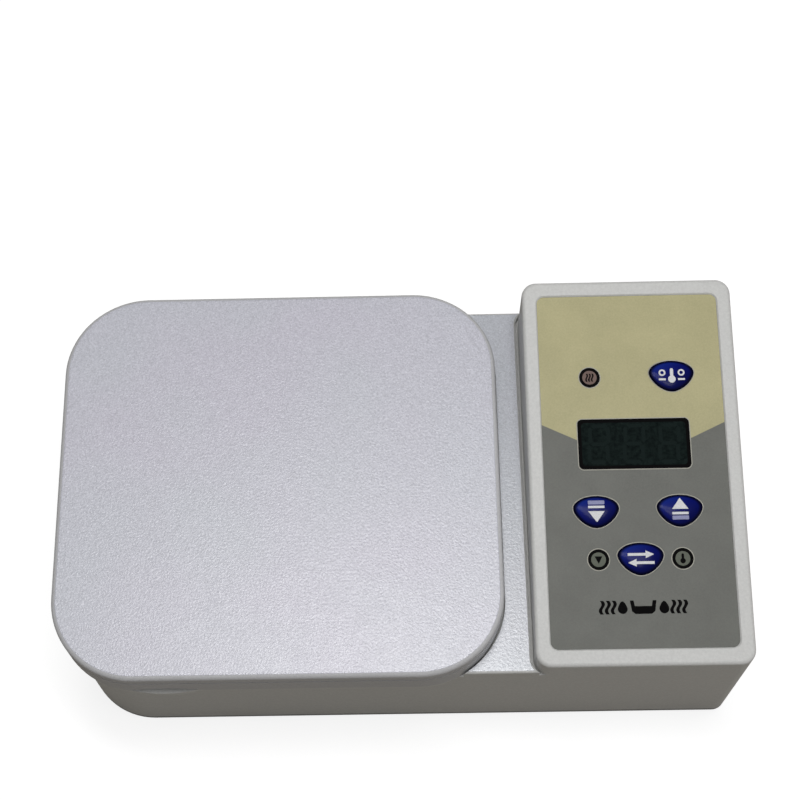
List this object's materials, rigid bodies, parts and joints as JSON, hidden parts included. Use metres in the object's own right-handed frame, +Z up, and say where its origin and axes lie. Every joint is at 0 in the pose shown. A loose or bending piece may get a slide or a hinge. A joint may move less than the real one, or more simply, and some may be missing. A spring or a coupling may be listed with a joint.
{
  "type": "paraffin wax bath",
  "caption": "Small electric wax bath with a lift-off rounded lid over a heated tank, and a sloping keypad tower with a digital display beside it.",
  "frame": {"origin": "centre of the footprint, on the surface that the feet stand on", "axes": "+X towards the control tower, +Y to the rear, +Z up"},
  "size_m": [0.2072, 0.1256, 0.0748],
  "materials": {
    "case_shell": "fine sparkle texture, silver white",
    "lid_shell": "pearl texture, pale lavender grey",
    "base_plastic": "fine matt texture",
    "foot_rubber": "matt",
    "tank_metal": "spun satin",
    "gasket_silicone": "matt silicone",
    "heater_silicone": "ribbed silicone",
    "plated_steel": "zinc plated",
    "fibre": "felted fibre",
    "overlay_film": "printed film, beige over grey",
    "window_smoke": "smoked, clear gloss",
    "display_black": "dark face with segment outlines",
    "board_green": "solder mask",
    "key_blue": "domed gloss",
    "plunger_black": "matt",
    "lens_smoke": "diffused lens",
    "black_plastic": "moulded, fine grain",
    "rocker_black": "moulded gloss",
    "brass_contact": "bright",
    "core_steel": "laminated, varnished",
    "winding_tape": "yellow tape",
    "relay_blue": "moulded",
    "terminal_green": "moulded",
    "capacitor_sleeve": "shrink sleeve",
    "fuse_glass": "clear tube",
    "lead_sleeve": "insulated wire",
    "sensor_sleeve": "insulated wire",
    "ribbon_grey": "flat cable",
    "cutout_body": "phenolic body on a metal cap"
  },
  "bodies": {
    "case_body": {"upper_case": "case_shell", "bottom_plate": "base_plastic", "rubber_feet": "foot_rubber", "case_screws": "plated_steel", "tank": "tank_metal", "tank_gasket": "gasket_silicone", "heater_pad": "heater_silicone", "heater_clamp_plate": "plated_steel", "heater_nuts": "plated_steel", "insulation_pad": "fibre", "insulation_wrap": "fibre", "thermal_cutout": "cutout_body", "temperature_sensor": "plated_steel", "sensor_clip": "plated_steel", "earth_lug": "brass_contact", "side_nuts": "plated_steel", "main_board": "board_green", "main_board_screws": "plated_steel", "transformer_core": "core_steel", "transformer_winding": "winding_tape", "heater_relay": "relay_blue", "terminal_block": "terminal_green", "filter_capacitor": "capacitor_sleeve", "control_chip": "black_plastic", "fuse": "fuse_glass", "fuse_clips": "brass_contact", "display_board": "board_green", "display_board_screws": "plated_steel", "display_module": "display_black", "display_window": "window_smoke", "control_overlay": "overlay_film", "tact_switches": "black_plastic", "led_heat": "lens_smoke", "led_set": "lens_smoke", "led_actual": "lens_smoke", "led_spacers": "black_plastic", "power_inlet": "black_plastic", "inlet_pins": "brass_contact", "inlet_screws": "plated_steel", "rocker_housing": "black_plastic", "rocker_tabs": "brass_contact", "mains_leads": "lead_sleeve", "heater_leads": "lead_sleeve", "sensor_leads": "sensor_sleeve", "cutout_leads": "lead_sleeve", "ribbon_headers": "black_plastic", "ribbon_cable": "ribbon_grey"},
    "lid_body": {"lid": "lid_shell"},
    "rocker_body": {"rocker": "rocker_black"},
    "key_unit_body": {"key_unit": "key_blue", "plunger_unit": "plunger_black"},
    "key_down_body": {"key_down": "key_blue", "plunger_down": "plunger_black"},
    "key_up_body": {"key_up": "key_blue", "plunger_up": "plunger_black"},
    "key_mode_body": {"key_mode": "key_blue", "plunger_mode": "plunger_black"}
  },
  "joints": [
    {"name": "lid_lift", "type": "slide", "parent": "case_body", "child": "lid_body", "axis": [0, 0, 1], "range_m": [0, 0.09]},
    {"name": "key_unit_press", "type": "slide", "parent": "case_body", "child": "key_unit_body", "axis": [0, 0.1261, -0.992], "range_m": [0, 0.0004], "stiffness_N_per_m": 2500},
    {"name": "key_down_press", "type": "slide", "parent": "case_body", "child": "key_down_body", "axis": [0, 0.1261, -0.992], "range_m": [0, 0.0004], "stiffness_N_per_m": 2500},
    {"name": "key_up_press", "type": "slide", "parent": "case_body", "child": "key_up_body", "axis": [0, 0.1261, -0.992], "range_m": [0, 0.0004], "stiffness_N_per_m": 2500},
    {"name": "key_mode_press", "type": "slide", "parent": "case_body", "child": "key_mode_body", "axis": [0, 0.1261, -0.992], "range_m": [0, 0.0004], "stiffness_N_per_m": 2500},
    {"name": "rocker_turn", "type": "hinge", "parent": "case_body", "child": "rocker_body", "pos_m": [0.07145, 0.0568, 0.05], "axis": [0, 0, 1], "range_deg": [0, 20]}
  ]
}
